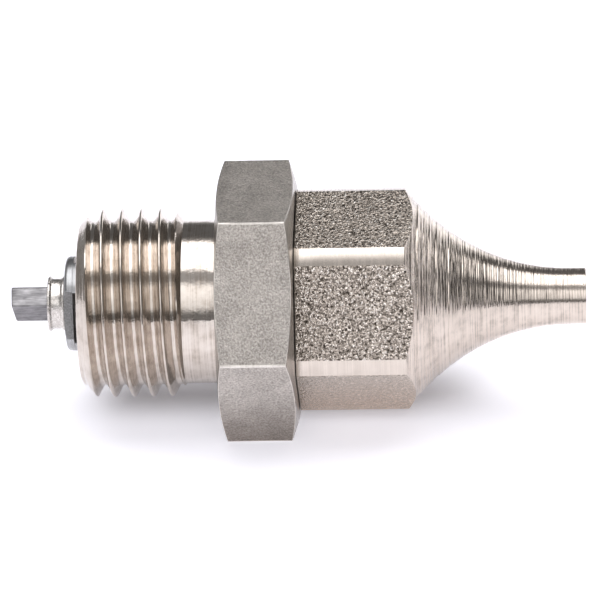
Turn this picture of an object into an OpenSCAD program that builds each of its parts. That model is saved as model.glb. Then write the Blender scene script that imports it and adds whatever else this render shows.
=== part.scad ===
// Shut-off oil burner nozzle: G1/4 adapter, flared nozzle body and a spring-closed needle.
// The nozzle axis is X, the spray leaves toward +X, and X = 0 is the rear seat of the flange.
// The part lies on one flat of the flange hexagon; +Z is up.

/* [Inlet thread] */
// Major diameter of the pipe thread
thread_d = 13.157; // [9.7:0.001:21]
// Root diameter of the pipe thread
thread_root_d = 11.445; // [8.5:0.001:19]
// Thread pitch
thread_pitch = 1.337; // [0.9:0.001:1.9]
// Length from the flange seat to the rear rim
thread_l = 9.69; // [6:0.01:16]
// Diameter of the plain neck before the flange
neck_d = 11.35; // [8:0.01:18]
// Length of the plain neck
neck_l = 2.44; // [1:0.01:5]

/* [Flange hexagon] */
// Across flats of the flange
flange_af = 17; // [14:0.5:24]
// Thickness of the flange
flange_t = 5.36; // [3:0.01:8]
// Diameter over the turned corners of the flange
flange_corner_d = 19.6; // [15:0.1:27]

/* [Nozzle body] */
// Across flats of the nozzle hexagon
nose_af = 14; // [11:0.5:17]
// Diameter over the turned corners of the nozzle hexagon
nose_corner_d = 15.4; // [12:0.1:19]
// How far the nozzle hexagon is turned from the flange when tight
nose_turn = 10.6; // [0:0.1:60]
// Distance from the flange seat to the tip
nose_end = 25.4; // [18:0.1:36]
// Diameter of the tip
tip_d = 3.94; // [2.5:0.01:6]
// Radius of the hollow flare that runs down to the tip
flare_r = 14; // [8:0.1:24]
// Length of the plain cylinder at the tip
tip_land = 1.1; // [0.5:0.1:4]
// Diameter of the spray orifice
orifice_d = 0.6; // [0.2:0.05:1.5]

/* [Needle] */
// Diameter of the needle stem
stem_d = 2.5; // [1.5:0.1:4]
// Across flats of the square at the rear of the stem
square_af = 1.75; // [1:0.05:3]
// How far the square stands out behind the stop collar
square_l = 2.69; // [1:0.01:8]
// Diameter of the hardened pin
pin_d = 1.2; // [0.6:0.05:2]
// Diameter of the crimped stop collar
collar_d = 3.8; // [3:0.1:6]
// How far the needle lifts off its seat
stroke = 1.5; // [0.5:0.1:2.5]

/* [Spring] */
// Outside diameter of the closing spring
spring_d = 6; // [4:0.1:7]
// Wire diameter of the closing spring
wire_d = 0.6; // [0.3:0.05:1]
// Turns of the closing spring, with the closed end turns
spring_turns = 7; // [4:1:12]

/* [Hidden] */
fine = 96;
gap = 0.02;
eps = 0.01;

thread_r = thread_d / 2;
thread_root_r = thread_root_d / 2;
thread_flat = thread_pitch / 6; // the groove's flat bottom
thread_phase = -4.67;
thread_lead_turns = 5;
thread_turns = 7.3;
thread_flank = 27.5;
thread_overcut = 0.17;
thread_seg = 36;
neck_r = neck_d / 2;
rim_r = 5.57;
rim_lead = 1;
neck_runout = 0.61;

hex_floor = 30;
flange_back_r = 8.42;
flange_back_chamfer = 0.34;
flange_front_r = 8.2;
flange_front_chamfer = 0.5;
seam = 0.05;
nose_x = flange_t + seam;
nose_corner_r = nose_corner_d / 2;
nose_back_chamfer = 0.08;
tip_r = tip_d / 2;
tip_edge = 0.08;
flare_x = nose_end - tip_land;
flare_c = tip_r + flare_r;

rear_bore_r = 3.33;
rear_bore_x = -7.2;
rear_mouth = 0.25;
chamber_r = 3.8;
chamber_x = 0.6;
washer_t = 0.7;
washer_in_r = 3.35;
washer_out_r = 4.4;

joint_pitch = 1;
joint_seg = 24;
joint_bore_r = 4.46;
joint_major_r = 4.97;
joint_relief_r = 5.1;
joint_relief_l = 1;
joint_mouth = 0.6;
joint_edge = 0.1;
joint_flank = 30;
joint_overcut = 0.08;
joint_fit = 0.07;
bore_turns = 5;
spigot_turns = 4.2;
spigot_x = chamber_x + washer_t;
spigot_nose_r = 4.3;
spigot_lead = 0.67;
spigot_thread_end = 4.5;
spigot_neck_x = 4.9;
spigot_neck_r = 4.36;

nose_bore_r = 3.3;
snap_x = 5.97;
snap_wire_r = 0.23;
snap_arc = 318;
snap_groove_half = 0.25;
snap_groove_depth = 0.27;
guide_x = 6.3;
guide_head_front = 7.1;
guide_tube_r = 1.95;
guide_front = 10.9;
guide_notch_w = 0.9;
guide_notch_r = 2.3;
filter_step_x = 10.4;
filter_step_r = 2.9;
funnel_x = 11.2;
funnel_end = 14.2;
needle_bore_r = 1.15;
swirl_x = 19.5;
swirl_front = 22.6;
swirl_slot = [6, 0.35, 0.9];
swirl_slot_r = 1.35;
swirl_angle = 30;
jet_x = nose_end - 2.6;
jet_r = 1.3;
jet_sink = 0.1;
jet_countersink = 0.3;
jet_cone_x = 23.4;
jet_cone_r = 0.75;
cone = 30;
orifice_r = orifice_d / 2;

stem_r = stem_d / 2;
stem_front = 13;
stem_chamfer = 0.4;
square_turn = 24.5;
shear = 8;
bush_r = 1.75;
bush_x = -9.6;
head_x = -10.74;
head_r = 3.3;
head_t = 0.62;
head_edge = 0.3;
head_bore_r = 1.34;
plug_flange_r = 3.75;
plug_front = -6;
pilot_r = 2.2;
pilot_front = -3.4;
flow_flat = 2.6;
flow_angle = 87;
flow_w = 8; // wider than the plug, so each flat is cut right across
wrench_half = 2.75;
wrench_angle = 80;
turned_edge = 0.2;
small_edge = 0.1;

collar_r = collar_d / 2;
collar_x = -12.01;
collar_front = head_x - 0.1;
collar_lip = 0.2;
collar_waist = 0.1;
collar_edge = 0.06;
square_x = collar_x - square_l;

spring_r = (spring_d - wire_d) / 2;
spring_back = plug_front + 0.2;
spring_sides = 10;
spring_seg = 20;
thrust_r = 3.2;
shim_x = 2.3;
shim_r = 3;
seat_x = 2.5;
seat_front = 3.3;
seat_r = 3.1;
seat_notch_w = 1;
seat_notch_r = 2.5;
clip_front = 3.7;
clip_r = 2.3;
clip_depth = 0.3;
clip_mouth = 1.4;
hub_back = pilot_front + stroke;
pin_r = pin_d / 2;
pin_back = 9;
pin_end_gap = 0.1;
pin_flat_r = 0.08;

// A turned shape about the X axis from a list of [x, radius].
module lathe(pts) {
  rotate([0, 90, 0])
    rotate_extrude($fn = fine)
      polygon([for (p = pts) [p[1], p[0]]]);
}

module rod(x0, x1, r) {
  lathe([[x0, 0], [x1, 0], [x1, r], [x0, r]]);
}

module tube(x0, x1, r0, r1) {
  lathe([[x0, r0], [x1, r0], [x1, r1], [x0, r1]]);
}

module hex_bar(af, x0, x1, turn) {
  translate([x0, 0, 0])
    rotate([turn, 0, 0])
      rotate([0, 90, 0])
        cylinder(r = af / sqrt(3), h = x1 - x0, $fn = 6);
}

// A screw groove or coil: a section, as a list of [radius, x], carried round the X axis.
module helix(section, x0, pitch, turns, seg) {
  m = len(section);
  n = round(turns * seg);
  pts = [for (i = [0:n]) for (s = section) let (a = 360 * i / seg)
    [x0 + pitch * i / seg + s[1], -s[0] * sin(a), s[0] * cos(a)]];
  sides = [for (i = [0:n - 1]) for (k = [0:m - 1]) for (t = [0, 1])
    let (a = m * i + k, b = m * i + (k + 1) % m) t == 0 ? [a, b + m, b] : [a, a + m, b + m]];
  start = [for (k = [0:m - 1]) k];
  end = [for (k = [m - 1:-1:0]) m * n + k];
  polyhedron(points = pts, faces = concat(sides, [start, end]), convexity = 12);
}

// A V groove for cutting a screw thread, flat at the bottom.
function v_groove(r_deep, r_open, flat, flank) =
  let (w = flat / 2, v = flat / 2 + abs(r_open - r_deep) * tan(flank))
  r_open > r_deep
    ? [[r_deep, -w], [r_deep, w], [r_open, v], [r_open, -v]]
    : [[r_open, -v], [r_open, v], [r_deep, w], [r_deep, -w]];

module inlet_thread_groove() {
  helix(v_groove(thread_root_r, thread_r + thread_overcut, thread_flat, thread_flank),
    thread_phase - thread_lead_turns * thread_pitch, thread_pitch, thread_turns, thread_seg);
}

// The female thread of the joint, in the adapter.
module joint_thread_groove() {
  helix(v_groove(joint_major_r + joint_fit, joint_bore_r - joint_overcut, joint_pitch / 8, joint_flank),
    chamber_x + joint_pitch / 2, joint_pitch, bore_turns, joint_seg);
}

// The male thread of the joint, on the nozzle body's spigot.
module spigot_thread_groove() {
  helix(v_groove(joint_bore_r - joint_fit, joint_major_r + joint_overcut, joint_pitch / 6, joint_flank),
    chamber_x, joint_pitch, spigot_turns, joint_seg);
}

module adapter_body() color([0.72, 0.71, 0.68]) difference() {
  union() {
    lathe([[-thread_l, 0], [-thread_l, rim_r], [-thread_l + rim_lead, thread_r],
      [-neck_l - neck_runout, thread_r], [-neck_l, neck_r], [flange_t / 2, neck_r], [flange_t / 2, 0]]);
    intersection() {
      hex_bar(flange_af, 0, flange_t, hex_floor);
      lathe([[0, 0], [0, flange_back_r], [flange_back_chamfer, flange_corner_d / 2],
        [flange_t - flange_front_chamfer, flange_corner_d / 2], [flange_t, flange_front_r], [flange_t, 0]]);
    }
  }
  lathe([[-thread_l - rim_lead, 0], [-thread_l - rim_lead, rear_bore_r + rim_lead + rear_mouth],
    [-thread_l + rear_mouth, rear_bore_r], [rear_bore_x, rear_bore_r], [rear_bore_x, chamber_r],
    [chamber_x, chamber_r], [chamber_x, joint_relief_r], [chamber_x + joint_relief_l, joint_relief_r],
    [chamber_x + 1.5 * joint_relief_l, joint_bore_r], [flange_t - joint_mouth, joint_bore_r],
    [flange_t + joint_edge, joint_relief_r + joint_edge], [flange_t + joint_edge, 0]]);
  inlet_thread_groove();
  joint_thread_groove();
}

module nose_outline() {
  difference() {
    polygon([[0, nose_x], [nose_corner_r - nose_back_chamfer, nose_x],
      [nose_corner_r, nose_x + nose_back_chamfer], [nose_corner_r, flare_x], [0, flare_x]]);
    translate([flare_c, flare_x])
      circle(r = flare_r, $fn = 240);
  }
}

module nose_body() color([0.70, 0.68, 0.64]) difference() {
  union() {
    intersection() {
      hex_bar(nose_af, nose_x, flare_x + 1, hex_floor + nose_turn);
      rotate([0, 90, 0])
        rotate_extrude($fn = fine)
          nose_outline();
    }
    lathe([[flare_x - tip_r, 0], [flare_x, tip_r], [nose_end - tip_edge, tip_r],
      [nose_end, tip_r - tip_edge], [nose_end, 0]]);
    lathe([[spigot_x, 0], [spigot_x, spigot_nose_r], [spigot_x + spigot_lead, joint_major_r],
      [spigot_thread_end, joint_major_r], [spigot_neck_x, spigot_neck_r],
      [nose_x + seam, spigot_neck_r], [nose_x + seam, 0]]);
  }
  lathe([[spigot_x - 1, 0], [spigot_x - 1, nose_bore_r], [filter_step_x, nose_bore_r],
    [filter_step_x, filter_step_r], [funnel_x, filter_step_r], [funnel_end, needle_bore_r],
    [jet_x, needle_bore_r], [jet_x, jet_r], [nose_end + 1, jet_r], [nose_end + 1, 0]]);
  tube(snap_x - snap_groove_half, snap_x + snap_groove_half, filter_step_r,
    nose_bore_r + snap_groove_depth);
  spigot_thread_groove();
}

module joint_washer() color([0.78, 0.45, 0.30]) {
  tube(chamber_x, spigot_x, washer_in_r, washer_out_r);
}

module guide_plug() color([0.62, 0.62, 0.62]) difference() {
  lathe([[head_x, head_bore_r], [head_x, head_r - head_edge], [head_x + head_edge, head_r],
    [rear_bore_x, head_r], [rear_bore_x, plug_flange_r], [plug_front, plug_flange_r],
    [plug_front, pilot_r], [pilot_front - turned_edge, pilot_r], [pilot_front, pilot_r - turned_edge],
    [pilot_front, bush_r], [bush_x, bush_r], [bush_x, head_bore_r]]);
  for (i = [0:2])
    rotate([flow_angle + 120 * i, 0, 0])
      translate([head_x + head_t, -flow_w / 2, flow_flat])
        cube([plug_front - head_x - head_t + eps, flow_w, flow_w]);
  for (i = [0:1])
    rotate([wrench_angle + 180 * i, 0, 0])
      translate([head_x - head_t, -flow_w / 2, wrench_half])
        cube([2 * head_t, flow_w, flow_w]);
}

module guide_bush() color([0.72, 0.52, 0.26]) {
  lathe([[bush_x, stem_r + gap], [pilot_front, stem_r + gap], [pilot_front, bush_r - small_edge],
    [pilot_front - small_edge, bush_r], [bush_x, bush_r]]);
}

module stop_collar() color([0.86, 0.83, 0.76]) {
  let (mid = (collar_x + collar_front) / 2, half = (collar_front - collar_x) / 2,
      waist = half - collar_lip - collar_waist)
    for (side = [0, 1])
      translate([mid, 0, 0])
        mirror([side, 0, 0])
          lathe([[0, stem_r], [0, collar_r - collar_waist], [waist, collar_r - collar_waist],
            [waist + collar_waist, collar_r], [half - collar_edge, collar_r],
            [half, collar_r - collar_edge], [half, stem_r]]);
}

module needle_stem() color([0.55, 0.55, 0.56]) difference() {
  intersection() {
    lathe([[square_x, 0], [square_x, stem_r], [stem_front - stem_chamfer, stem_r],
      [stem_front, stem_r - stem_chamfer], [stem_front, 0]]);
    union() {
      rotate([square_turn, 0, 0])
        translate([square_x, -square_af / 2, -square_af / 2])
          cube([square_l + stem_r, square_af, square_af]);
      rod(collar_x, stem_front + 1, stem_r + 1);
    }
  }
  // the rear end is sheared, so it leans a little
  translate([square_x, 0, stem_r])
    rotate([0, -shear, 0])
      translate([-stem_d, -stem_d, -3 * stem_r])
        cube([stem_d, 2 * stem_d, 2 * stem_d]);
  rod(pin_back, stem_front + 1, pin_r);
  tube(seat_front, clip_front, stem_r - clip_depth, clip_r);
}

module needle_pin() color([0.66, 0.67, 0.70]) {
  let (x0 = pin_back + pin_end_gap,
      x1 = jet_cone_x + (jet_cone_r - pin_r) / tan(cone) - gap / sin(cone),
      x2 = x1 + (pin_r - pin_flat_r) / tan(cone))
    lathe([[x0, 0], [x0, pin_r - small_edge], [x0 + small_edge, pin_r], [x1, pin_r],
      [x2, pin_flat_r], [x2, 0]]);
}

module thrust_washer() color([0.60, 0.60, 0.58]) {
  tube(plug_front, spring_back, pilot_r + small_edge, thrust_r);
}

module return_spring() color([0.64, 0.66, 0.68]) {
  let (lead = (shim_x - spring_back - wire_d) / spring_turns)
    helix([for (k = [0:spring_sides - 1]) let (a = -360 * k / spring_sides)
      [spring_r + wire_d / 2 * cos(a), wire_d / 2 * sin(a)]],
      spring_back + wire_d / 2, lead, spring_turns, spring_seg);
}

module preload_shim() color([0.70, 0.70, 0.66]) {
  tube(shim_x, seat_x, pilot_r + small_edge, shim_r);
}

module spring_seat() color([0.74, 0.58, 0.30]) difference() {
  lathe([[hub_back, stem_r + gap], [hub_back, pilot_r - turned_edge], [hub_back + turned_edge, pilot_r],
    [seat_x, pilot_r], [seat_x, seat_r], [seat_front, seat_r], [seat_front, stem_r + gap]]);
  for (i = [0:3])
    rotate([90 * i, 0, 0])
      translate([shim_x, -seat_notch_w / 2, seat_notch_r])
        cube([clip_front - shim_x, seat_notch_w, seat_r]);
}

module retaining_clip() color([0.40, 0.40, 0.42]) difference() {
  tube(seat_front + gap / 2, clip_front - gap / 2, stem_r - clip_depth, clip_r);
  translate([seat_front, -clip_mouth / 2, 0])
    cube([clip_front - seat_front, clip_mouth, 2 * clip_r]);
}

module front_guide() color([0.74, 0.56, 0.28]) difference() {
  lathe([[guide_x, stem_r + gap], [guide_x, nose_bore_r - gap], [guide_head_front, nose_bore_r - gap],
    [guide_head_front, guide_tube_r], [guide_front, guide_tube_r], [guide_front, stem_r + gap]]);
  for (i = [0:5])
    rotate([60 * i, 0, 0])
      translate([snap_x, -guide_notch_w / 2, guide_notch_r])
        cube([filter_step_x - snap_x, guide_notch_w, nose_bore_r]);
}

module filter_snap_ring() color([0.66, 0.67, 0.69]) {
  rotate([0, 90, 0])
    rotate_extrude(angle = snap_arc, $fn = fine)
      translate([nose_bore_r, snap_x])
        circle(r = snap_wire_r, $fn = fine / 3);
}

module filter_ring() color([0.70, 0.50, 0.30]) {
  tube(guide_head_front, filter_step_x, guide_tube_r + gap, nose_bore_r - gap);
}

module swirl_insert() color([0.70, 0.70, 0.70]) difference() {
  tube(swirl_x, swirl_front, pin_r + gap, needle_bore_r);
  for (i = [0:2])
    rotate([120 * i, 0, 0])
      translate([(swirl_x + swirl_front) / 2, 0, swirl_slot_r])
        rotate([0, 0, swirl_angle])
          cube(swirl_slot, center = true);
}

module jet_tip() color([0.60, 0.61, 0.63]) {
  let (x_end = jet_cone_x + (jet_cone_r - orifice_r) / tan(cone))
    lathe([[jet_x, jet_cone_r], [jet_cone_x, jet_cone_r], [x_end, orifice_r],
      [nose_end - jet_sink - jet_countersink, orifice_r], [nose_end - jet_sink, orifice_r + jet_countersink],
      [nose_end - jet_sink, jet_r], [jet_x, jet_r]]);
}

adapter_body();
nose_body();
joint_washer();
guide_plug();
guide_bush();
stop_collar();
needle_stem();
needle_pin();
thrust_washer();
return_spring();
preload_shim();
spring_seat();
retaining_clip();
front_guide();
filter_snap_ring();
filter_ring();
swirl_insert();
jet_tip();
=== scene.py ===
"""Looks for the oil burner nozzle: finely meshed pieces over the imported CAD, with metals, floor, room
and camera.

Lengths are millimetres unless a name says otherwise. The nozzle axis is X, the spray leaves toward +X,
and an angle round the axis is measured from +Z and grows as a right-hand turn about +X.
"""

import math

import bmesh
import bpy
import numpy as np
from mathutils import Matrix, Vector


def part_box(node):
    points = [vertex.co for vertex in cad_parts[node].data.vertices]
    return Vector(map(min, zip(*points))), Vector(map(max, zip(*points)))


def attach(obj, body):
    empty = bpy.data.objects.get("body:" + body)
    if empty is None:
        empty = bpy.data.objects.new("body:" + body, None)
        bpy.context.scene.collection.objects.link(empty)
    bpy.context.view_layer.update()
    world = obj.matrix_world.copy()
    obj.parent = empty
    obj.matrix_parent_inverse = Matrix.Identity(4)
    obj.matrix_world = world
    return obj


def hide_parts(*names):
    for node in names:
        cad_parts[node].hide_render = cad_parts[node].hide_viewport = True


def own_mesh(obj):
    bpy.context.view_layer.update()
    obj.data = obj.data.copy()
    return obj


MM = 0.001
TAU = 2 * math.pi
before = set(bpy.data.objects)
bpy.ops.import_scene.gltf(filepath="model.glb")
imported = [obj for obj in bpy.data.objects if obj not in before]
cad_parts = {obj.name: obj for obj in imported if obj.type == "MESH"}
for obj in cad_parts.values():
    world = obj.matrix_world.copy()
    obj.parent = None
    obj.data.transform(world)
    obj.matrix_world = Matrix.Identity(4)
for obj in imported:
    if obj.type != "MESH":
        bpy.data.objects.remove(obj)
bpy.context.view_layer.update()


# ---------------------------------------------------------------- sizes, as in the CAD source

THREAD_R = 13.157 / 2
THREAD_PITCH = 1.337
THREAD_FLANK = math.radians(27.5)
THREAD_CREST = 0.10  # rounding radius of the crests
THREAD_ROOT = 0.267  # rounding radius of the roots
THREAD_MID = -4.67 + THREAD_PITCH / 2
THREAD_BACK = -9.69
RIM_R = 5.57
RIM_LEAD = 1.0
RIM_BREAK = 0.04  # the rim's broken edge
NECK_R = 11.35 / 2
NECK_BACK = -2.44
NECK_RUNOUT = 0.61
NECK_FILLET = 0.16  # where the neck meets the flange
NECK_FILLET_MID = 0.05

FLANGE_AF = 17.0
FLANGE_T = 5.36
FLANGE_CORNER_R = 9.8
FLANGE_BACK_R = 8.42
FLANGE_BACK_CHAMFER = 0.34
FLANGE_FRONT_R = 8.2
FLANGE_FRONT_CHAMFER = 0.5

REAR_BORE_R = 3.33
REAR_BORE_X = -7.2
REAR_MOUTH = 0.25
CHAMBER_R = 3.8
CHAMBER_X = 0.6
JOINT_R = 5.04
JOINT_MOUTH = 0.5
JOINT_MOUTH_FLARE = 0.16

NOSE_AF = 14.0
NOSE_X = 5.41
NOSE_CORNER_R = 7.7
NOSE_TURN = math.radians(10.6)
NOSE_BACK_CHAMFER = 0.08
FLARE_R = 14.0
FLARE_X = 24.3
TIP_R = 1.97
TIP_EDGE = 0.06
TIP_EDGE_MID = 0.02
NOSE_END = 25.4
JET_R = 1.3
JET_X = 22.8
JET_MOUTH = 0.04
NEEDLE_BORE_R = 1.15
FUNNEL_END = 14.2
FUNNEL_X = 11.2
FILTER_STEP_X = 10.4
FILTER_STEP_R = 2.9
NOSE_BORE_R = 3.3
SPIGOT_X = 1.3
SPIGOT_NOSE_R = 4.3
SPIGOT_LEAD_X = 1.97
SPIGOT_R = 4.96
SPIGOT_THREAD_END = 4.5
SPIGOT_NECK_X = 4.9
SPIGOT_NECK_R = 4.4

HEAD_X = -10.74
HEAD_R = 3.3
HEAD_T = 0.62
HEAD_EDGE = 0.3
HEAD_BORE_R = 1.34
HEAD_MOUTH = 0.08
LEDGE_EDGE = 0.02
PLUG_FLANGE_R = 3.75
PLUG_FRONT = -6.0
PILOT_R = 2.2
PILOT_FRONT = -3.4
PILOT_EDGE = 0.2
BUSH_R = 1.75
BUSH_X = -9.6
FLOW_FLAT = 2.6
FLOW_ANGLES = [math.radians(a) for a in (87, 207, 327)]
WRENCH_FLAT = 2.75
WRENCH_ANGLES = [math.radians(a) for a in (80, 260)]

STEM_R = 1.25
STEM_FRONT = 13.0
STEM_CHAMFER = 0.4
SQUARE_AF = 1.75
SQUARE_TURN = math.radians(24.5)
SQUARE_X = -14.7
SQUARE_SHARP = 16  # exponent of the rounded square; higher is sharper
SHEAR = math.radians(8)
COLLAR_X = -12.01
COLLAR_FRONT = HEAD_X - 0.1
COLLAR_R = 1.9
COLLAR_WAIST = 0.12
COLLAR_JAWS = 6  # marks of the crimping tool round the waist
COLLAR_DENT = 0.02
PIN_R = 0.6
PIN_BACK = 9.0
CLIP_GROOVE = (3.3, 3.7)
CLIP_DEPTH = 0.3

SPRING_R = 2.7
WIRE_R = 0.3
SPRING_BACK = -5.8
SPRING_FRONT = 2.3
SPRING_TURNS = 7
SPRING_GROUND = 0.02  # how much the grinding takes off each end

SMALL_ROUND = 0.012  # how far a hexagon's edges are rounded
FACE_BREAK = 0.06  # width of the small bevel between a face and its chamfer
SHARP_EDGE = math.radians(38)  # a steeper corner between two faces shows as an edge
EDGE_TURN = math.radians(0.5)  # half the width of a flat's pale edge strip, as an angle round the axis
COLUMNS = 145  # points round a small turned piece
MIDDLE_ROWS = (0.25, 0.5, 0.75)  # where rows cross a hexagon's flats, as shares of their length
TURNED_FACE = 0.2  # a face whose normal has more than this along the axis was turned, not milled
SIDE_FACE = 0.3  # and with less than this along the axis a face belongs to the side of a bar
NEAR = 0.05  # how far the middle of a face may lie from the surface it stands for


# ---------------------------------------------------------------- materials


def add_node(tree, kind, inputs=None, **settings):
    """A new shader node of this kind. Inputs are numbers, colours or sockets, by index or name."""
    node = tree.nodes.new("ShaderNode" + kind)
    for key, value in settings.items():
        setattr(node, key, value)
    for key, value in (inputs or {}).items():
        if isinstance(value, bpy.types.NodeSocket):
            tree.links.new(value, node.inputs[key])
        else:
            node.inputs[key].default_value = value
    return node


NOISE_ROUGHNESS = 0.55
NOISE_RANGE = (0.3, 0.7)  # the part of the noise that is carried to 0..1
WANDER_LEAN = 0.7  # how much height counts beside depth where a tool line changes along its way


class Look:
    """A metal's node tree, built from a few shared blocks. Places come from the object, in millimetres."""

    def __init__(self, name):
        self.material = bpy.data.materials.new(name)
        self.material.use_nodes = True
        self.tree = self.material.node_tree
        self.shader = self.tree.nodes["Principled BSDF"]
        self.shader.inputs["Metallic"].default_value = 1
        place = self.add("TexCoord").outputs["Object"]
        self.point = self.add("VectorMath", {0: place, 1: (1 / MM,) * 3}, operation="MULTIPLY").outputs[0]
        self.x, self.y, self.z = self.add("SeparateXYZ", {0: self.point}).outputs
        square = self.math("MULTIPLY_ADD", self.y, self.y, self.math("MULTIPLY", self.z, self.z))
        self.radius = self.math("SQRT", square)

    def add(self, kind, inputs=None, **settings):
        """A new node in this metal's tree."""
        return add_node(self.tree, kind, inputs, **settings)

    def math(self, operation, *values):
        """The result of one math node on numbers or sockets."""
        return self.add("Math", dict(enumerate(values)), operation=operation).outputs[0]

    def total(self, *values):
        """The sum of these values."""
        result = values[0]
        for value in values[1:]:
            result = self.math("ADD", result, value)
        return result

    def grains(self, size, along=1.0, detail=2.0, seed=0.0):
        """Noise from 0 to 1 with grains of about that size, drawn out along X by a factor."""
        scale = (1 / (size * along), 1 / size, 1 / size)
        place = self.add("VectorMath", {0: self.point, 1: scale, 2: (seed,) * 3}, operation="MULTIPLY_ADD")
        return self.noise(place.outputs[0], detail)

    def rings(self, pitch, wander=6.0, detail=2.0, seed=0.0):
        """Noise in lines round the axis, as a lathe leaves them; each line changes over about wander."""
        across = self.math("DIVIDE", self.radius, pitch)
        along = self.math("DIVIDE", self.x, pitch)
        drift = self.math("DIVIDE", self.math("MULTIPLY_ADD", self.z, WANDER_LEAN, self.y), wander)
        place = self.add("CombineXYZ", {0: along, 1: across, 2: self.math("ADD", drift, seed)})
        return self.noise(place.outputs[0], detail)

    def noise(self, place, detail):
        """Noise at this place, stretched so that it fills 0 to 1."""
        inputs = {"Vector": place, "Scale": 1.0, "Detail": detail, "Roughness": NOISE_ROUGHNESS}
        return self.span(self.add("TexNoise", inputs).outputs[0], *NOISE_RANGE)

    def span(self, value, low, high, start=0.0, end=1.0):
        """value carried from low..high to start..end, and held at the ends."""
        return self.add("MapRange", {0: value, 1: low, 2: high, 3: start, 4: end}).outputs[0]

    def color(self, value, *shades):
        """Base colour from evenly spaced shades as value goes from 0 to 1."""
        ramp = self.add("ValToRGB", {0: value})
        stops = ramp.color_ramp.elements
        for i, shade in enumerate(shades):
            at = i / (len(shades) - 1)
            stop = stops[i] if i < 2 else stops.new(at)
            stop.position = at
            stop.color = (*shade, 1)
        self.tree.links.new(ramp.outputs[0], self.shader.inputs["Base Color"])
        return self

    def tint(self, value, shade):
        """Base colour multiplied by this shade as value goes from 0 to 1."""
        base = self.shader.inputs["Base Color"]
        plain = base.links[0].from_socket
        inputs = {0: value, 6: plain, 7: (*shade, 1)}
        mixed = self.add("Mix", inputs, data_type="RGBA", blend_type="MULTIPLY")
        self.tree.links.new(mixed.outputs[2], base)
        return self

    def rough(self, value, low, high):
        """Roughness from low to high as value goes from 0 to 1."""
        self.tree.links.new(self.span(value, 0, 1, low, high), self.shader.inputs["Roughness"])
        return self

    def relief(self, *layers):
        """Bump from pairs of (noise, height in millimetres)."""
        height = self.total(*[self.math("MULTIPLY", value, depth) for value, depth in layers])
        bump = self.add("Bump", {"Height": height, "Distance": MM, "Strength": 1.0})
        self.tree.links.new(bump.outputs[0], self.shader.inputs["Normal"])
        return self


def average(look, *values):
    """The mean of these values."""
    return look.math("DIVIDE", look.total(*values), len(values))


def plated():
    """Bright plating over a turned thread: mirror-like, with fine tool lines, stains and dull patches."""
    look = Look("bright_plating")
    stain = look.grains(0.9, seed=3.1, detail=4)
    line = look.rings(0.05)
    look.color(average(look, stain, line), (0.33, 0.275, 0.225), (0.575, 0.515, 0.46), (0.65, 0.60, 0.545))
    look.rough(stain, 0.17, 0.06)
    look.relief((line, 0.0022), (look.rings(0.23, wander=3, seed=5), 0.006), (look.grains(0.45), 0.005))
    return look.material


def milled():
    """The flange's flats: an even satin with a very fine grain, and painted shade that darkens them toward
    the underside.
    """
    look = Look("satin_flats")
    grain = look.grains(0.13, detail=3)
    patch = look.grains(1.6, seed=8)
    shade = average(look, grain, grain, grain, patch)
    look.color(shade, (0.25, 0.23, 0.207), (0.44, 0.405, 0.37), (0.66, 0.617, 0.57))
    # Painted shade: the base colour is darkened toward the floor.
    look.tint(look.span(look.z, -3.5, -8.5), (0.56, 0.52, 0.49))
    look.rough(grain, 0.46, 0.34)
    look.relief((grain, 0.031), (look.grains(0.3, seed=2), 0.008))
    return look.material


def turned(name, dark, light, low, high, lines=0.004):
    """A turned surface with tool lines round the axis."""
    look = Look(name)
    fine = look.rings(0.045)
    coarse = look.rings(0.16, seed=4)
    look.color(average(look, fine, coarse, look.grains(1.1, detail=3)), dark, light)
    look.rough(coarse, high, low)
    look.relief((fine, lines * 0.4), (coarse, lines))
    return look.material


def sparkling():
    """The nozzle's flats: coarse crystals with pits between, the colour painted bright on the crystals as
    glints and dark in the pits as shade. On the underside the painted sparkle fades, and painted shade
    darkens and warms the colour.
    """
    look = Look("crystalline_flats")
    underside_top, lowest = -2.4, -6.0  # heights: below the first the sparkle is painted plain and painted shade begins, darkest below the second
    crystal = look.grains(0.135, detail=1)
    pit = look.grains(0.19, seed=6, detail=2)
    glint = look.math("POWER", crystal, 3.0)
    # Painted sparkle: the crystals' colour contrast is kept in full above the underside and lowered on it.
    contrast = look.span(look.z, underside_top, underside_top / 2, 0.3, 1.0)
    gain, offset = 1.4, -0.63
    mixed = look.math("MULTIPLY_ADD", average(look, glint, pit), gain, offset)
    shade = look.math("MULTIPLY_ADD", mixed, contrast, 0.5)
    look.color(shade, (0.05, 0.04, 0.03), (0.54, 0.47, 0.405), (1.0, 0.95, 0.88))
    # Painted shade: the colour is darkened and warmed toward the floor.
    look.tint(look.span(look.z, underside_top, lowest), (0.93, 0.84, 0.77))
    look.rough(crystal, 0.20, 0.07)
    look.relief((glint, 0.075), (pit, 0.03))
    return look.material


def flared():
    """The flare: bright turned metal whose fine feed lines catch the light like a comb, with painted shade
    darkening the colour in their grooves.
    """
    look = Look("turned_flare")
    fine = look.rings(0.035, wander=2.5)
    feed = look.rings(0.11, wander=4, seed=4)
    stain = look.grains(0.8, detail=3, seed=1)
    shade = average(look, fine, feed, stain)
    # Painted shade: the colour is darkest where the feed lines' bumps are lowest, in the grooves.
    look.color(shade, (0.20, 0.17, 0.145), (0.61, 0.535, 0.47), (0.68, 0.61, 0.54))
    look.rough(feed, 0.18, 0.08)
    look.relief((fine, 0.005), (feed, 0.018), (look.grains(0.3, seed=9), 0.003))
    return look.material


def drawn(name, dark, light, low, high, depth=0.006):
    """A drawn bar with lines along its length."""
    look = Look(name)
    line = look.grains(0.06, along=18, detail=3)
    blotch = look.grains(0.5, along=2, seed=4, detail=3)
    look.color(average(look, line, blotch), dark, light)
    look.rough(blotch, high, low)
    look.relief((line, depth), (look.grains(0.2, seed=7), depth))
    return look.material


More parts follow.
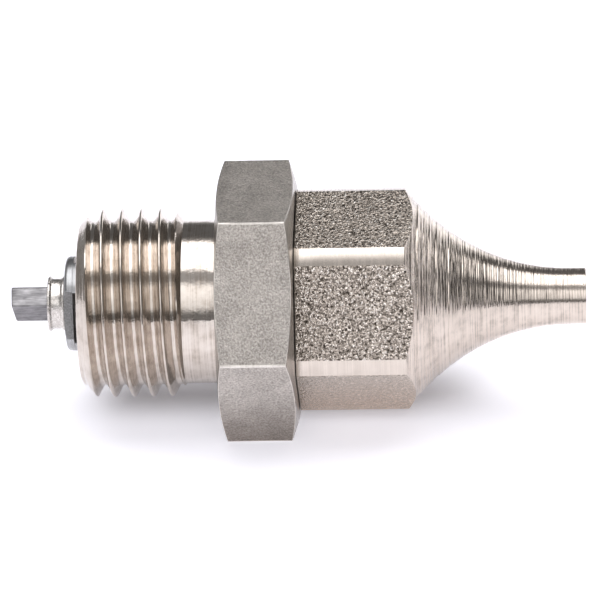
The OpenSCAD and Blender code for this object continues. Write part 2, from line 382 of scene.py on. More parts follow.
def beaten(name, dark, light, low, high, size=0.25, depth=0.012):
    """A cast, pressed or crimped surface with soft dents."""
    look = Look(name)
    dent = look.grains(size, detail=3)
    fine = look.grains(size * 0.3, seed=5, detail=2)
    look.color(average(look, dent, fine), dark, light)
    look.rough(fine, high, low)
    look.relief((dent, depth), (fine, depth * 0.3))
    return look.material


def sintered():
    """Bronze beads fused together, with dark pores between them."""
    look = Look("sintered_bronze")
    bead_size = 0.28
    cells = look.add("TexVoronoi", {"Vector": look.point, "Scale": 1 / bead_size}).outputs["Distance"]
    bead = look.span(cells, 0.0, 0.75, 1.0, 0.0)
    look.color(bead, (0.08, 0.045, 0.02), (0.42, 0.25, 0.12), (0.66, 0.43, 0.22))
    look.rough(look.grains(0.1), 0.3, 0.5)
    look.relief((bead, 0.12))
    return look.material


PLATED = plated()
MILLED = milled()
CHAMFER = turned("turned_chamfer", (0.32, 0.30, 0.275), (0.52, 0.49, 0.455), 0.24, 0.36)
BORE = turned("turned_bore", (0.22, 0.205, 0.195), (0.40, 0.385, 0.365), 0.3, 0.45)
CRYSTAL = sparkling()
# A paler colour for the strips along the flange's edges and its chamfers' rims.
PALE_EDGE = turned("pale_edge", (0.52, 0.48, 0.44), (0.76, 0.72, 0.67), 0.3, 0.42, 0.001)
LAND = turned("turned_land", (0.50, 0.44, 0.385), (0.66, 0.595, 0.53), 0.12, 0.22, 0.002)
FLARED = flared()
DRAWN = drawn("drawn_steel", (0.10, 0.097, 0.10), (0.34, 0.33, 0.335), 0.3, 0.46)
COLLAR = beaten("crimped_collar", (0.44, 0.40, 0.37), (0.74, 0.71, 0.67), 0.2, 0.34)
GUIDE = turned("guide_steel", (0.27, 0.27, 0.275), (0.50, 0.50, 0.50), 0.24, 0.4)
GUIDE_FLAT = beaten("guide_flat", (0.12, 0.12, 0.12), (0.36, 0.355, 0.35), 0.34, 0.5, 0.12, 0.02)
# Near-black painted shade for the flow flats behind the guide's head, standing for the dark recess there.
PAINTED_SHADE_FLATS = beaten("painted_shade_flow_flats", (0.012, 0.011, 0.010), (0.06, 0.055, 0.05), 0.3, 0.55, 0.3, 0.01)
JET = turned("jet_steel", (0.40, 0.40, 0.41), (0.68, 0.68, 0.69), 0.16, 0.28)
HARD = turned("ground_pin", (0.58, 0.59, 0.61), (0.74, 0.75, 0.77), 0.08, 0.16, 0.001)
WIRE = drawn("spring_wire", (0.34, 0.35, 0.37), (0.60, 0.61, 0.64), 0.2, 0.32, 0.003)
BLACKENED = beaten("blackened_clip", (0.05, 0.05, 0.055), (0.16, 0.16, 0.17), 0.35, 0.5, 0.15, 0.006)
COPPER = turned("soft_copper", (0.62, 0.27, 0.16), (0.88, 0.46, 0.30), 0.22, 0.36)
BRONZE = turned("turned_bronze", (0.52, 0.33, 0.13), (0.78, 0.55, 0.26), 0.2, 0.34)
SHIM = turned("stamped_shim", (0.50, 0.50, 0.48), (0.72, 0.72, 0.70), 0.25, 0.4)
SINTERED = sintered()


# ---------------------------------------------------------------- mesh helpers


def mesh_object(name, points, faces, body, materials, pick=None, merge=0.003):
    """A closed mesh object from points in millimetres that rides on a body; close points are joined.

    pick(x, r, turn, axial) gives each face the index of its material, from where its middle is along and
    round the axis and how far it faces along X.
    """
    mesh = bpy.data.meshes.new(name)
    mesh.from_pydata([tuple(p) for p in np.asarray(points) * MM], [], faces)
    bm = bmesh.new()
    bm.from_mesh(mesh)
    bmesh.ops.remove_doubles(bm, verts=bm.verts, dist=merge * MM)
    bmesh.ops.dissolve_degenerate(bm, edges=bm.edges, dist=merge * MM / 2)
    bmesh.ops.recalc_face_normals(bm, faces=bm.faces)
    for face in bm.faces:
        face.smooth = True
    for edge in bm.edges:
        if len(edge.link_faces) == 2 and edge.calc_face_angle(0.0) > SHARP_EDGE:
            edge.smooth = False
    bm.to_mesh(mesh)
    bm.free()
    for material in materials:
        mesh.materials.append(material)
    if pick:
        middle = np.array([p.center for p in mesh.polygons]) / MM
        axial = np.abs([p.normal.x for p in mesh.polygons])
        x, y, z = middle.T
        index = pick(x, np.hypot(y, z), np.arctan2(-y, z), axial)
        mesh.polygons.foreach_set("material_index", index.astype(np.int32))
    obj = bpy.data.objects.new(name, mesh)
    bpy.context.scene.collection.objects.link(obj)
    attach(obj, body)
    return obj


def ring_points(x, r, theta):
    """Points round the X axis; x and r are numbers or arrays over theta."""
    x, r, theta = np.broadcast_arrays(x, r, theta)
    return np.stack([x, -r * np.sin(theta), r * np.cos(theta)], axis=-1)


def skin(stations, theta):
    """Points and quads of a closed ring of stations, each (x, r), round the X axis."""
    n, m = len(theta), len(stations)
    points = np.concatenate([ring_points(x, r, theta) for x, r in stations])
    faces = []
    for i in range(m):
        a, b = i * n, (i + 1) % m * n
        faces += [(a + k, a + k + 1, b + k + 1, b + k) for k in range(n - 1)]
    return points, faces


def merged_angles(*groups, least=0.0015):
    """Sorted angles from 0 to a full turn, without near repeats."""
    angles = np.unique(np.concatenate([np.asarray(g) % TAU for g in groups] + [[0.0]]))
    angles = angles[np.concatenate([[True], np.diff(angles) > least])]
    return np.append(angles[angles < TAU - least], TAU)


def flat_radius(theta, limit, flat, angles):
    """Radius of a bar with flats at that distance from the axis, facing those angles."""
    r = np.full(len(theta), float(limit))
    for a in angles:
        across = np.cos(theta - a)
        r = np.where(across > 0, np.minimum(r, flat / np.maximum(across, 1e-6)), r)
    return r


def flat_edges(limit, flat, angles):
    """The angles where those flats meet the turned surface, each with a close pair for a crisp edge."""
    half = math.acos(flat / limit)
    return [a + s * (half + d) for a in angles for s in (-1, 1) for d in (-EDGE_TURN, 0, EDGE_TURN)]


# ---------------------------------------------------------------- adapter


def hex_angles(turn):
    """Where the six flats of a hexagon face; one faces down when turn is 0."""
    return [turn + k * math.pi / 3 for k in range(6)]


def past_edge(turn, af, corner_r, hex_turn=0.0):
    """How far round from the nearest flat's edge an angle is: below zero on the flat, above on the land."""
    sixth = math.pi / 3
    return np.abs((turn - hex_turn + sixth / 2) % sixth - sixth / 2) - math.acos(af / 2 / corner_r)


def hex_columns(af, corner_r, turn, per_side):
    """Angles round a hexagon, gathered at its turned corners."""
    angles = hex_angles(turn)
    half = math.acos(af / 2 / corner_r)
    spread = np.linspace(-half, half, per_side)
    land = np.linspace(half, math.pi / 3 - half, 5)
    return np.concatenate([np.concatenate([a + spread, a + land]) for a in angles] + [
        flat_edges(corner_r, af / 2, angles)])


def thread_radius(s):
    """Radius of the rounded pipe thread at distance s along the axis from a crest."""
    half = THREAD_PITCH / 2
    s = np.abs((s + half) % THREAD_PITCH - half)
    crest_w = THREAD_CREST * math.cos(THREAD_FLANK)
    root_w = THREAD_ROOT * math.cos(THREAD_FLANK)
    crest_h = THREAD_CREST * (1 - math.sin(THREAD_FLANK))
    root_h = THREAD_ROOT * (1 - math.sin(THREAD_FLANK))
    slope = 1 / math.tan(THREAD_FLANK)
    depth = crest_h + root_h + slope * (half - crest_w - root_w)
    crest = THREAD_R - THREAD_CREST + np.sqrt(np.maximum(THREAD_CREST**2 - s**2, 0))
    root = THREAD_R - depth + THREAD_ROOT - np.sqrt(np.maximum(THREAD_ROOT**2 - (half - s) ** 2, 0))
    flank = THREAD_R - crest_h - slope * (s - crest_w)
    return np.where(s < crest_w, crest, np.where(s > half - root_w, root, flank))


def soft_min(a, b, k=0.05):
    """The smaller of two, with the meeting corner rounded over about k."""
    h = np.clip(0.5 + 0.5 * (b - a) / k, 0, 1)
    return b + (a - b) * h - k * h * (1 - h)


def thread_stations(theta):
    """Rows that follow the helix from the rear lead to the neck."""
    half = THREAD_PITCH / 2
    crest_w = THREAD_CREST * math.cos(THREAD_FLANK)
    root_w = THREAD_ROOT * math.cos(THREAD_FLANK)
    side = np.concatenate([np.linspace(0, crest_w, 4), np.linspace(crest_w, half - root_w, 5)[1:],
                           np.linspace(half - root_w, half, 6)[1:]])
    one_turn = np.concatenate([-side[::-1], side[1:-1]])
    first = math.floor((THREAD_BACK - THREAD_MID) / THREAD_PITCH) - 1
    last = math.ceil((NECK_BACK - THREAD_MID) / THREAD_PITCH) + 1
    advance = THREAD_PITCH * theta / TAU
    step = 0.03  # between the thread's rows and the rim behind and the neck in front
    back, front = THREAD_BACK + RIM_BREAK, NECK_BACK - step
    rows = []
    for turn in range(first, last + 1):
        for s in one_turn:
            x = np.clip(THREAD_MID + THREAD_PITCH * turn + advance + s, back, front)
            lead = RIM_R + step + (x - back) * (THREAD_R - RIM_R) / RIM_LEAD
            runout = NECK_R + (NECK_BACK - x) * (THREAD_R - NECK_R) / NECK_RUNOUT
            r = soft_min(thread_radius(x - THREAD_MID - advance), lead)
            rows.append((x, np.maximum(soft_min(r, runout), np.minimum(NECK_R, lead))))
    return rows


def hex_rows(inner, outer, x_face, x_edge, edge=SMALL_ROUND):
    """Rows over a turned chamfer, from its circle on the face out to the hexagon's side."""
    shares = (0.0, 0.3, 0.6, 0.86, 0.95)
    rows = [(x_face + (x_edge - x_face) * t, inner + (outer - inner) * t) for t in shares]
    side = np.sign(np.mean(x_edge - x_face))
    return rows + [(x_edge + side * edge, outer - edge), (x_edge + side * 4 * edge, outer)]


def adapter():
    """The threaded adapter with its hexagon flange. The neck meets the flange in a small fillet."""
    theta = merged_angles(np.linspace(0, TAU, 289), hex_columns(FLANGE_AF, FLANGE_CORNER_R, 0, 14))
    side = flat_radius(theta, FLANGE_CORNER_R, FLANGE_AF / 2, hex_angles(0))
    back = (side - FLANGE_BACK_R) * FLANGE_BACK_CHAMFER / (FLANGE_CORNER_R - FLANGE_BACK_R)
    front = FLANGE_T - (side - FLANGE_FRONT_R) * FLANGE_FRONT_CHAMFER / (FLANGE_CORNER_R - FLANGE_FRONT_R)
    back_rows = hex_rows(FLANGE_BACK_R, side, SMALL_ROUND, back)
    front_rows = hex_rows(FLANGE_FRONT_R, side, FLANGE_T - SMALL_ROUND, front)[::-1]
    margin = 0.05  # from each chamfer to the rows along the flats
    between = [(back + margin + (front - back - 2 * margin) * t, side) for t in MIDDLE_ROWS]
    neck_rows = (NECK_BACK, -1.6, -0.8, -NECK_FILLET)
    seat_ring, front_ring = NECK_R + 0.8, 6.5  # rows that split the two wide faces
    mouth_edge, mouth_r = 0.03, REAR_BORE_R + 0.3
    rows = [(THREAD_BACK, RIM_R - RIM_BREAK)] + thread_stations(theta)
    rows += [(x, NECK_R) for x in neck_rows]
    rows += [(-NECK_FILLET_MID, NECK_R + NECK_FILLET_MID), (0, NECK_R + NECK_FILLET), (0, seat_ring),
             (0, FLANGE_BACK_R - FACE_BREAK)]
    rows += back_rows + between + front_rows
    rows += [(FLANGE_T, FLANGE_FRONT_R - FACE_BREAK), (FLANGE_T, front_ring),
             (FLANGE_T, JOINT_R + JOINT_MOUTH_FLARE), (FLANGE_T - JOINT_MOUTH, JOINT_R),
             (CHAMBER_X, JOINT_R), (CHAMBER_X, CHAMBER_R), (REAR_BORE_X, CHAMBER_R),
             (REAR_BORE_X, REAR_BORE_R), (THREAD_BACK + REAR_MOUTH, REAR_BORE_R),
             (THREAD_BACK + mouth_edge, mouth_r - 2 * mouth_edge), (THREAD_BACK, mouth_r)]
    points, faces = skin(rows, theta)

    def pick(x, r, turn, axial):
        beyond = past_edge(turn, FLANGE_AF, FLANGE_CORNER_R)
        seat = 0.001  # how near to the seat face counts as on it
        on_flange = (x > seat) & (r > FLANGE_BACK_R - NEAR)
        side_r = flat_radius(turn, FLANGE_CORNER_R, FLANGE_AF / 2, hex_angles(0))
        rim_width = 0.035
        rim = on_flange & (axial > TURNED_FACE) & (r > side_r - rim_width)
        pale = on_flange & (rim | (axial < TURNED_FACE) & (np.abs(beyond) < EDGE_TURN))
        inside = (r < JOINT_R + 2 * NEAR) & (x > THREAD_BACK + REAR_MOUTH + NEAR)
        chamfer = on_flange & (axial >= TURNED_FACE) | (x > -seat) & ~on_flange
        return np.select([inside, pale, chamfer, on_flange], [4, 3, 2, 1], 0)

    obj = mesh_object("adapter", points, faces, "housing", [PLATED, MILLED, CHAMFER, PALE_EDGE, BORE], pick)
    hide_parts("adapter_body")


# ---------------------------------------------------------------- nose


def flare_radius(x):
    """Radius of the hollow flare, an arc that meets the tip's cylinder without a corner."""
    under = np.maximum(FLARE_R**2 - (FLARE_X - np.minimum(x, FLARE_X)) ** 2, 0)
    return TIP_R + FLARE_R - np.sqrt(under)


def flare_x(r):
    """Where along the axis the flare has this radius."""
    return FLARE_X - np.sqrt(np.maximum(FLARE_R**2 - (TIP_R + FLARE_R - r) ** 2, 0))


def tool_lines():
    """The flare's turned lines: a function that gives their depth at x, deeper toward the hexagon."""
    rng = np.random.default_rng(11)
    count, deepest, start = 90, 0.05, 12.6
    places = np.cumsum(rng.uniform(0.09, 0.27, count)) + start
    depths = rng.uniform(0.25, 1.0, len(places)) * deepest
    widths = rng.uniform(0.035, 0.075, len(places))
    full = 14  # the depth grows from the tip back to here
    double, double_over = 17.5, 4  # and from here back it rises to double, over this length

    def depth(x):
        x = np.asarray(x, float)[..., None]
        fade = np.clip((NOSE_END - x) / (NOSE_END - full), 0.12, 1)
        fade = fade + np.clip((double - x) / double_over, 0, 1)
        cut = depths * np.exp(-(((x - places) / widths) ** 2))
        return (cut * fade).sum(axis=-1)

    return depth


def nose():
    """The nozzle body: hexagon, flare with real tool lines, tip, and the bore for the inner parts."""
    theta = merged_angles(hex_columns(NOSE_AF, NOSE_CORNER_R, NOSE_TURN, 24))
    side = flat_radius(theta, NOSE_CORNER_R, NOSE_AF / 2, hex_angles(NOSE_TURN))
    edge = flare_x(side)
    lines = tool_lines()
    face_ring = 6.0  # a row that splits the rear face
    bulge_x, bulge_r = 0.02, 0.03  # a point between the rear chamfer's ends, in from the face and the side
    hex_start, margin = NOSE_X + NOSE_BACK_CHAMFER, 0.14
    round_x, round_r = 0.05, 0.01  # the small rounding where the flats end at the flare
    leaving = np.linspace(0.02, 1, 36)[:-1]  # shares of the way from the flats' ends to the first flat ring
    ring_start, ring_end, ring_step = 14.2, NOSE_END - 0.1, 0.036
    rows = [(NOSE_X, SPIGOT_NECK_R), (NOSE_X, face_ring), (NOSE_X, side - NOSE_BACK_CHAMFER),
            (NOSE_X + bulge_x, side - bulge_r), (hex_start, side)]
    rows += [(hex_start + (edge - NOSE_X - margin) * t, side) for t in MIDDLE_ROWS]
    rows += [(edge - round_x, side), (edge - SMALL_ROUND, side - round_r)]
    for t in leaving:
        x = edge + (ring_start - edge) * t
        rows.append((x, np.minimum(flare_radius(x) - lines(x), side - SMALL_ROUND)))
    for x in np.arange(ring_start, ring_end, ring_step):
        rows.append((x, flare_radius(x) - lines(x)))
    rows += [(NOSE_END - TIP_EDGE, TIP_R), (NOSE_END - TIP_EDGE_MID, TIP_R - TIP_EDGE_MID),
             (NOSE_END, TIP_R - TIP_EDGE), (NOSE_END, JET_R + JET_MOUTH), (NOSE_END - JET_MOUTH, JET_R),
             (JET_X, JET_R), (JET_X, NEEDLE_BORE_R), (FUNNEL_END, NEEDLE_BORE_R), (FUNNEL_X, FILTER_STEP_R),
             (FILTER_STEP_X, FILTER_STEP_R), (FILTER_STEP_X, NOSE_BORE_R), (SPIGOT_X, NOSE_BORE_R),
             (SPIGOT_X, SPIGOT_NOSE_R), (SPIGOT_LEAD_X, SPIGOT_R), (SPIGOT_THREAD_END, SPIGOT_R),
             (SPIGOT_NECK_X, SPIGOT_NECK_R)]
    points, faces = skin(rows, theta)

    def pick(x, r, turn, axial):
        wall = 0.5  # less than the flare's wall is thick anywhere
        inside = (r < NOSE_BORE_R + NEAR) & (r < flare_radius(x) - wall) | (x < NOSE_X - 0.01)
        on_side = (r > NOSE_AF / 2 - 0.02) & (axial < SIDE_FACE) & (x > NOSE_X)
        land = on_side & (past_edge(turn, NOSE_AF, NOSE_CORNER_R, NOSE_TURN) > EDGE_TURN)
        return np.select([inside, land, on_side, x < NOSE_X + 0.06], [3, 1, 0, 1], 2)

    obj = mesh_object("nozzle_body", points, faces, "housing", [CRYSTAL, LAND, FLARED, BORE], pick)
    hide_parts("nose_body")


# ---------------------------------------------------------------- rear guide, collar and stem


def guide():
    """The guide plug: a turned head with two wrench flats, and three flow flats behind it."""
    theta = merged_angles(np.linspace(0, TAU, COLUMNS), flat_edges(HEAD_R, FLOW_FLAT, FLOW_ANGLES),
                          flat_edges(HEAD_R, WRENCH_FLAT, WRENCH_ANGLES),
                          flat_edges(PLUG_FLANGE_R, FLOW_FLAT, FLOW_ANGLES))
    ledge = HEAD_X + HEAD_T
    rows = [(HEAD_X, HEAD_BORE_R + HEAD_MOUTH)]
    for t in (0.0, 0.25, 0.5, 0.75, 1.0):
        swing = t * math.pi / 2
        limit = HEAD_R - HEAD_EDGE + HEAD_EDGE * math.sin(swing)
        x = HEAD_X + HEAD_EDGE * (1 - math.cos(swing))
        rows.append((x, flat_radius(theta, limit, WRENCH_FLAT, WRENCH_ANGLES)))
    head = flat_radius(theta, HEAD_R, WRENCH_FLAT, WRENCH_ANGLES)
    barrel = flat_radius(theta, HEAD_R, FLOW_FLAT, FLOW_ANGLES)
    collar = flat_radius(theta, PLUG_FLANGE_R, FLOW_FLAT, FLOW_ANGLES)
    rows += [(ledge - LEDGE_EDGE, head), (ledge, head - LEDGE_EDGE), (ledge, np.minimum(head, barrel)),
             (ledge, barrel), (REAR_BORE_X, barrel), (REAR_BORE_X, collar), (PLUG_FRONT, collar),
             (PLUG_FRONT, PILOT_R), (PILOT_FRONT - PILOT_EDGE, PILOT_R),
             (PILOT_FRONT, PILOT_R - PILOT_EDGE), (PILOT_FRONT, BUSH_R), (BUSH_X, BUSH_R),
             (BUSH_X, HEAD_BORE_R), (HEAD_X + HEAD_MOUTH, HEAD_BORE_R)]
    points, faces = skin(rows, theta)

    def pick(x, r, turn, axial):
        on_flat = (r < HEAD_R - 0.08) & (axial < SIDE_FACE) & (r > FLOW_FLAT - NEAR)
        # The flow flats behind the head take the near-black painted shade.
        return np.select([on_flat & (x > ledge), on_flat], [2, 1], 0)

    obj = mesh_object("guide_plug_body", points, faces, "housing", [GUIDE, GUIDE_FLAT, PAINTED_SHADE_FLATS], pick)
    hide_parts("guide_plug")


def collar():
    """The stop collar: a short sleeve crimped on the stem, with a ragged raised lip at each end."""
    theta = np.linspace(0, TAU, COLUMNS)
    rng = np.random.default_rng(5)

    def ragged(size):
        """Radial waves round the collar of about that size."""
        waves = [(k, rng.uniform(0, TAU), rng.uniform(0.3, 1.0)) for k in (3, 5, 9, 14, 23)]
        return size * sum(a * np.sin(k * theta + p) for k, p, a in waves) / 3

    half = (COLLAR_FRONT - COLLAR_X) / 2
    mid = COLLAR_X + half
    body = COLLAR_R - COLLAR_WAIST + COLLAR_DENT * np.cos(COLLAR_JAWS * theta)
    rear, front = ragged(0.04), ragged(0.03)
    # A lip: place along half the collar, offset from its radius, and share of the ragged waves.
    outline = [(-1.0, -0.10, 0), (-1.0, -0.03, 1), (-0.93, 0.0, 1), (-0.78, 0.0, 1), (-0.66, -0.05, 0.6)]
    rows = [(mid + half * s, np.full(len(theta), STEM_R)) for s in (0.96, -0.96)]
    rows += [(mid + half * s, COLLAR_R + d + w * rear) for s, d, w in outline]
    rows += [(mid + half * s, body) for s in (-0.52, -0.2, 0.15, 0.5)]
    rows += [(mid - half * s, COLLAR_R + d + w * front) for s, d, w in outline[::-1]]
    points, faces = skin(rows, theta)
    obj = mesh_object("crimped_collar", points, faces, "needle", [COLLAR])
    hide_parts("stop_collar")


def stem():
    """The needle stem: round, with a drawn square end whose rear was sheared at a slant."""
    corners = SQUARE_TURN + np.linspace(0, TAU, 5)[:4] + math.pi / 4
    theta = merged_angles(np.linspace(0, TAU, 97), corners)
    c, s = np.abs(np.cos(theta - SQUARE_TURN)), np.abs(np.sin(theta - SQUARE_TURN))
    square = SQUARE_AF / 2 * (c**SQUARE_SHARP + s**SQUARE_SHARP) ** (-1 / SQUARE_SHARP)
    rows = []

    def sheared(r, inset):
        """Where along the axis the slanted end lies at radius r, moved in by inset."""
        lower = np.clip(STEM_R - r * np.cos(theta), 0, None)
        return SQUARE_X + inset + lower * math.tan(SHEAR)

    rounded = 0.12  # how far the end's rounded edge reaches along the square
    for t, inset in ((0.02, 0.0), (0.5, 0.01), (0.86, 0.02), (0.96, 0.05), (1.0, rounded)):
        rows.append((sheared(square * t, inset), square * t))
    for t in np.linspace(0.15, 1, 6):
        rows.append((sheared(square, rounded) * (1 - t) + COLLAR_X * t, square))
    groove_back, groove_front = CLIP_GROOVE
    groove_r = STEM_R - CLIP_DEPTH
    rows += [(COLLAR_X + 0.01, STEM_R), (PLUG_FRONT, STEM_R), (0, STEM_R), (groove_back, STEM_R),
             (groove_back, groove_r), (groove_front, groove_r), (groove_front, STEM_R),
             (STEM_FRONT - STEM_CHAMFER, STEM_R), (STEM_FRONT, STEM_R - STEM_CHAMFER), (STEM_FRONT, PIN_R),
             (PIN_BACK, PIN_R), (PIN_BACK, 0.02)]
    cap = len(rows)
    points, faces = skin(rows, theta)
    faces = faces[:(cap - 1) * (len(theta) - 1)]
    for row in (0, cap - 1):
        start = row * len(theta)
        ring = list(range(start, start + len(theta) - 1))
        faces.append(ring if row else ring[::-1])
    obj = mesh_object("needle_stem_body", points, faces, "needle", [DRAWN])
    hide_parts("needle_stem")


def spring():
    """The closing spring, with a closed turn at each end ground flat. The real spring shortens as the
    needle lifts; this mesh keeps one length.
    """
    steps, sides = 44, 14
    turns = np.linspace(0, SPRING_TURNS, SPRING_TURNS * steps + 1)
    length = SPRING_FRONT - SPRING_BACK
    closed = np.clip(np.minimum(turns, SPRING_TURNS - turns), 0, 1)
    pace = 0.55 + 0.75 * closed  # how fast the wire climbs, slower in the closed end turns
    place = np.concatenate([[0], np.cumsum((pace[1:] + pace[:-1]) / 2)])
    place = SPRING_BACK + WIRE_R + (length - 2 * WIRE_R) * place / place[-1]
    around = np.arange(sides) * TAU / sides
    angle = (turns * TAU)[:, None]
    r = SPRING_R + WIRE_R * np.cos(around)[None, :]
    x = place[:, None] + WIRE_R * np.sin(around)[None, :]
    x = np.clip(x, SPRING_BACK + SPRING_GROUND, SPRING_FRONT - SPRING_GROUND)
    points = ring_points(x, r, angle).reshape(-1, 3)
    faces = []
    for i in range(len(turns) - 1):
        for k in range(sides):
            a, b = i * sides + k, i * sides + (k + 1) % sides
            faces.append((a, b, b + sides, a + sides))
    last = (len(turns) - 1) * sides
    faces += [list(range(sides))[::-1], list(range(last, last + sides))]
    obj = mesh_object("closing_spring", points, faces, "housing", [WIRE])
    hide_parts("return_spring")
    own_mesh(obj)


# The CAD's own meshes serve for these pieces, of which only the jet's front ring can be seen.
CARRIED_OVER = {"jet_tip": JET, "needle_pin": HARD, "joint_washer": COPPER, "guide_bush": BRONZE,
                "thrust_washer": SHIM, "preload_shim": SHIM, "spring_seat": BRONZE,
                "retaining_clip": BLACKENED, "front_guide": BRONZE, "filter_snap_ring": WIRE,
                "filter_ring": SINTERED, "swirl_insert": JET}

adapter()
nose()
guide()
collar()
stem()
spring()
for node, material in CARRIED_OVER.items():
    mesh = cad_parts[node].data
    mesh.materials.clear()
    mesh.materials.append(material)


# ---------------------------------------------------------------- floor, room, camera

FLOOR_HALF = 1.5  # metres
FLOOR_COLOR = (0.90, 0.89, 0.93, 1)
FLOOR_ROUGHNESS = 0.35
GLOW_COLOR = (0.97, 0.97, 1.05, 1)
GLOW = 0.46  # how much light the floor gives off
PAINTED_SHADOW = 0.85  # how much of the glow the painted shadow under the object takes away
PAINTED_SHADOW_MID = Vector((4.5, 3.2, 0))
PAINTED_SHADOW_X = (10.5, 16.5)  # distances along X where the painted shadow starts to fade and where it ends
PAINTED_SHADOW_Y = (0.5, 6.0)


def floor():
    """A white floor that glows a little, with a painted shadow in its glow under the object; it lies where
    the flange's lowest flat rests.
    """
    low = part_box("adapter_body")[0].z
    s = FLOOR_HALF
    mesh = bpy.data.meshes.new("floor")
    mesh.from_pydata([(-s, -s, low), (s, -s, low), (s, s, low), (-s, s, low)], [], [(0, 1, 2, 3)])
    obj = bpy.data.objects.new("floor", mesh)
    bpy.context.scene.collection.objects.link(obj)
    material = bpy.data.materials.new("floor_white")
    material.use_nodes = True
    shader = material.node_tree.nodes["Principled BSDF"]
    shader.inputs["Base Color"].default_value = FLOOR_COLOR
    shader.inputs["Roughness"].default_value = FLOOR_ROUGHNESS
    shader.inputs["Emission Color"].default_value = GLOW_COLOR
    tree = material.node_tree

    def add(kind, inputs, **settings):
        return add_node(tree, kind, inputs, **settings).outputs[0]

    def fading(distance, near, far):
        inputs = {0: distance, 1: near, 2: far, 3: 1.0, 4: 0.0}
        return add("MapRange", inputs, interpolation_type="SMOOTHSTEP")

    place = add_node(tree, "TexCoord").outputs["Object"]
    place = add("VectorMath", {0: place, 1: (1 / MM,) * 3, 2: -PAINTED_SHADOW_MID}, operation="MULTIPLY_ADD")
    away = add("VectorMath", {0: place}, operation="ABSOLUTE")
    away_x, away_y, _ = add_node(tree, "SeparateXYZ", {0: away}).outputs
    along, across = fading(away_x, *PAINTED_SHADOW_X), fading(away_y, *PAINTED_SHADOW_Y)
    # The painted shadow: the glow is lowered in a patch under the object.
    patch = add("Math", {0: along, 1: across}, operation="MULTIPLY")
    glow = add("Math", {0: patch, 1: -GLOW * PAINTED_SHADOW, 2: GLOW}, operation="MULTIPLY_ADD")
    tree.links.new(glow, shader.inputs["Emission Strength"])
    mesh.materials.append(material)


# Brightness of the room by the angle round the X axis: 0 is overhead, 90 the horizon in front, -90 behind.
ROOM = [(-180, 0.6), (-91, 0.6), (-84, 0.30), (-78, 0.15), (-40, 0.15), (-35, 0.4), (-28, 2.9),
        (13, 2.9), (21, 0.50), (33, 0.50), (42, 1.75), (56, 1.6), (72, 1.2), (79, 0.24), (90, 0.2),
        (91, 0.6), (180, 0.6)]
END_LIGHTS = (0.32, 0.09)  # brightness of the room's ends, behind the thread and past the tip
END_FROM, END_TO = 0.35, 0.7  # how far a direction leans toward an end before that takes over
WALL_LIGHT = 1.8  # brightness of the low wall behind the tip
WALL_FROM, WALL_TO = 0.12, 0.24  # how far a direction leans toward the tip before it meets that wall
WALL_LOW, WALL_HIGH = math.radians(-80), math.radians(-66)  # where the wall's top fades out


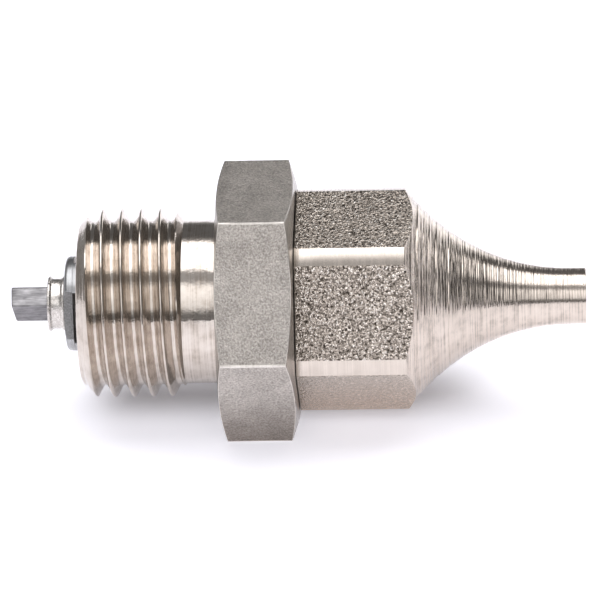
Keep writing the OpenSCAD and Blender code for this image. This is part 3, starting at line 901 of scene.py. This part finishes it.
def room():
    """Soft panels of light that run the length of the room, dark gaps between them, and dim ends."""
    world = bpy.data.worlds.new("studio")
    bpy.context.scene.world = world
    world.use_nodes = True
    tree = world.node_tree

    def add(kind, inputs, **settings):
        return add_node(tree, kind, inputs, **settings).outputs[0]

    direction = add_node(tree, "TexCoord").outputs["Generated"]
    x, y, z = add_node(tree, "SeparateXYZ", {0: direction}).outputs
    front = add("Math", {0: y, 1: -1.0}, operation="MULTIPLY")
    turn = add("Math", {0: front, 1: z}, operation="ARCTAN2")
    share = add("Math", {0: turn, 1: 1 / TAU, 2: 0.5}, operation="MULTIPLY_ADD")
    ramp = tree.nodes.new("ShaderNodeValToRGB")
    stops = ramp.color_ramp.elements
    for i, (angle, value) in enumerate(ROOM):
        at = (angle + 180) / 360
        stop = stops[i] if i < 2 else stops.new(at)
        stop.position = at
        stop.color = (value, value, value, 1)
    tree.links.new(share, ramp.inputs[0])
    lean = add("Math", {0: x}, operation="ABSOLUTE")
    end = add("MapRange", {0: lean, 1: END_FROM, 2: END_TO}, interpolation_type="SMOOTHSTEP")
    keep = add("Math", {0: 1.0, 1: end}, operation="SUBTRACT")
    panels = add("Math", {0: ramp.outputs[0], 1: keep}, operation="MULTIPLY")
    far = add("MapRange", {0: x, 1: -END_FROM, 2: END_FROM, 3: END_LIGHTS[0], 4: END_LIGHTS[1]})
    light = add("Math", {0: end, 1: far, 2: panels}, operation="MULTIPLY_ADD")
    aside = add("MapRange", {0: x, 1: WALL_FROM, 2: WALL_TO}, interpolation_type="SMOOTHSTEP")
    below = add("MapRange", {0: turn, 1: WALL_LOW, 2: WALL_HIGH, 3: WALL_LIGHT, 4: 0.0})
    wall = add("Math", {0: aside, 1: below}, operation="MULTIPLY")
    light = add("Math", {0: light, 1: wall}, operation="MAXIMUM")
    background = tree.nodes["Background"]
    background.inputs["Color"].default_value = (1.0, 1.0, 1.02, 1)
    tree.links.new(light, background.inputs["Strength"])


CAM_ELEVATION = math.radians(27.2)
CAM_AZIMUTH = math.radians(2.9)
CAM_ROLL = math.radians(2.2)
CAM_DISTANCE = 0.348  # metres
CAM_TARGET = Vector((5.5 * MM, 0, 0))
PIXELS_PER_MM = 14.36
FRAME_PIXELS = 600
SENSOR = 36  # millimetres


def camera():
    """The photograph's view: from the side and a little above, with a slight roll."""
    data = bpy.data.cameras.new("camera")
    data.sensor_width = SENSOR
    data.lens = data.sensor_width * CAM_DISTANCE * PIXELS_PER_MM / (FRAME_PIXELS * MM)
    data.clip_start, data.clip_end = 0.01, 10
    cam = bpy.data.objects.new("camera", data)
    bpy.context.scene.collection.objects.link(cam)
    a, e = CAM_AZIMUTH, CAM_ELEVATION
    back = Vector((math.sin(a) * math.cos(e), -math.cos(a) * math.cos(e), math.sin(e)))
    level = Vector((math.cos(a), math.sin(a), 0))
    above = back.cross(level)
    c, s = math.cos(CAM_ROLL), math.sin(CAM_ROLL)
    turn = Matrix((level * c - above * s, level * s + above * c, back)).transposed()
    cam.matrix_world = Matrix.Translation(CAM_TARGET + back * CAM_DISTANCE) @ turn.to_4x4()
    bpy.context.scene.camera = cam


floor()
room()
camera()
bpy.context.scene.view_settings.view_transform = "Standard"
